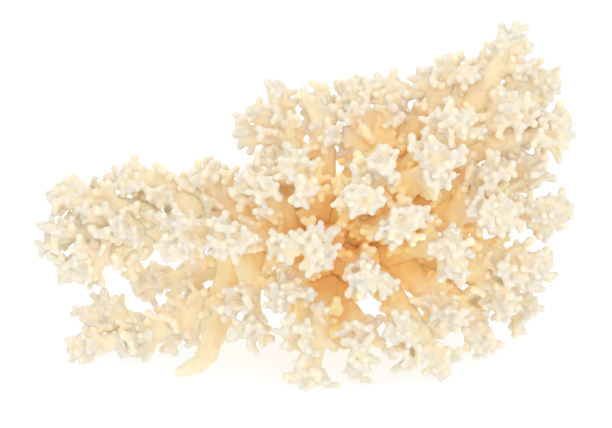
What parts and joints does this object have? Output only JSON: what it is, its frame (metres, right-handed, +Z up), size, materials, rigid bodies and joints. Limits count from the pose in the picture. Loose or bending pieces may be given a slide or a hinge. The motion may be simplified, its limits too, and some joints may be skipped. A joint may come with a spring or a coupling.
{
  "type": "branching coral",
  "caption": "Bleached bushy branching coral colony, cut off flat at its stump, with stout branches that fork into crowns of blunt finger-like nubs.",
  "frame": {"origin": "centre of the flat cut under the stump, on the floor", "axes": "+Z up, +X along the longest spread towards the tall side, +Y towards the back"},
  "size_m": [0.1812, 0.1105, 0.1083],
  "materials": {
    "coral": "dry, finely grained, bleached cream-white skeleton, warmer towards the middle"
  },
  "bodies": {
    "root": {"stump": "coral", "left_limb": "coral", "left_upper_branch": "coral", "left_tip_branch": "coral", "left_lower_branch": "coral", "left_top_branch": "coral", "left_front_branch": "coral", "left_shoulder_branch": "coral", "left_hanging_branch": "coral", "left_inner_branch": "coral", "left_high_front_branch": "coral", "low_left_limb": "coral", "low_left_fork": "coral", "low_left_leg": "coral", "back_low_left_branch": "coral", "tall_left_branch": "coral", "upper_front_branch": "coral", "upper_left_inner_branch": "coral", "top_left_branch": "coral", "top_middle_branch": "coral", "top_inner_branch": "coral", "top_right_branch": "coral", "spire_limb": "coral", "right_crown_branch": "coral", "right_back_crown_branch": "coral", "right_high_branch": "coral", "upper_right_front_branch": "coral", "right_front_branch": "coral", "right_limb": "coral", "right_upper_branch": "coral", "right_back_branch": "coral", "right_middle_front_branch": "coral", "low_right_limb": "coral", "low_right_front_branch": "coral", "right_hanging_branch": "coral", "right_hanging_back_branch": "coral", "right_leg": "coral", "low_right_middle_branch": "coral", "front_right_leg": "coral", "front_middle_leg": "coral", "front_leg": "coral", "front_low_left_branch": "coral", "middle_high_front_branch": "coral", "middle_front_branch": "coral", "middle_right_front_branch": "coral", "middle_left_front_branch": "coral", "middle_low_front_branch": "coral", "back_left_branch": "coral", "back_top_left_branch": "coral", "back_top_branch": "coral", "back_top_right_branch": "coral", "back_right_branch": "coral", "back_low_right_branch": "coral", "back_middle_branch": "coral", "back_low_branch": "coral", "back_inner_left_branch": "coral"}
  },
  "joints": []
}
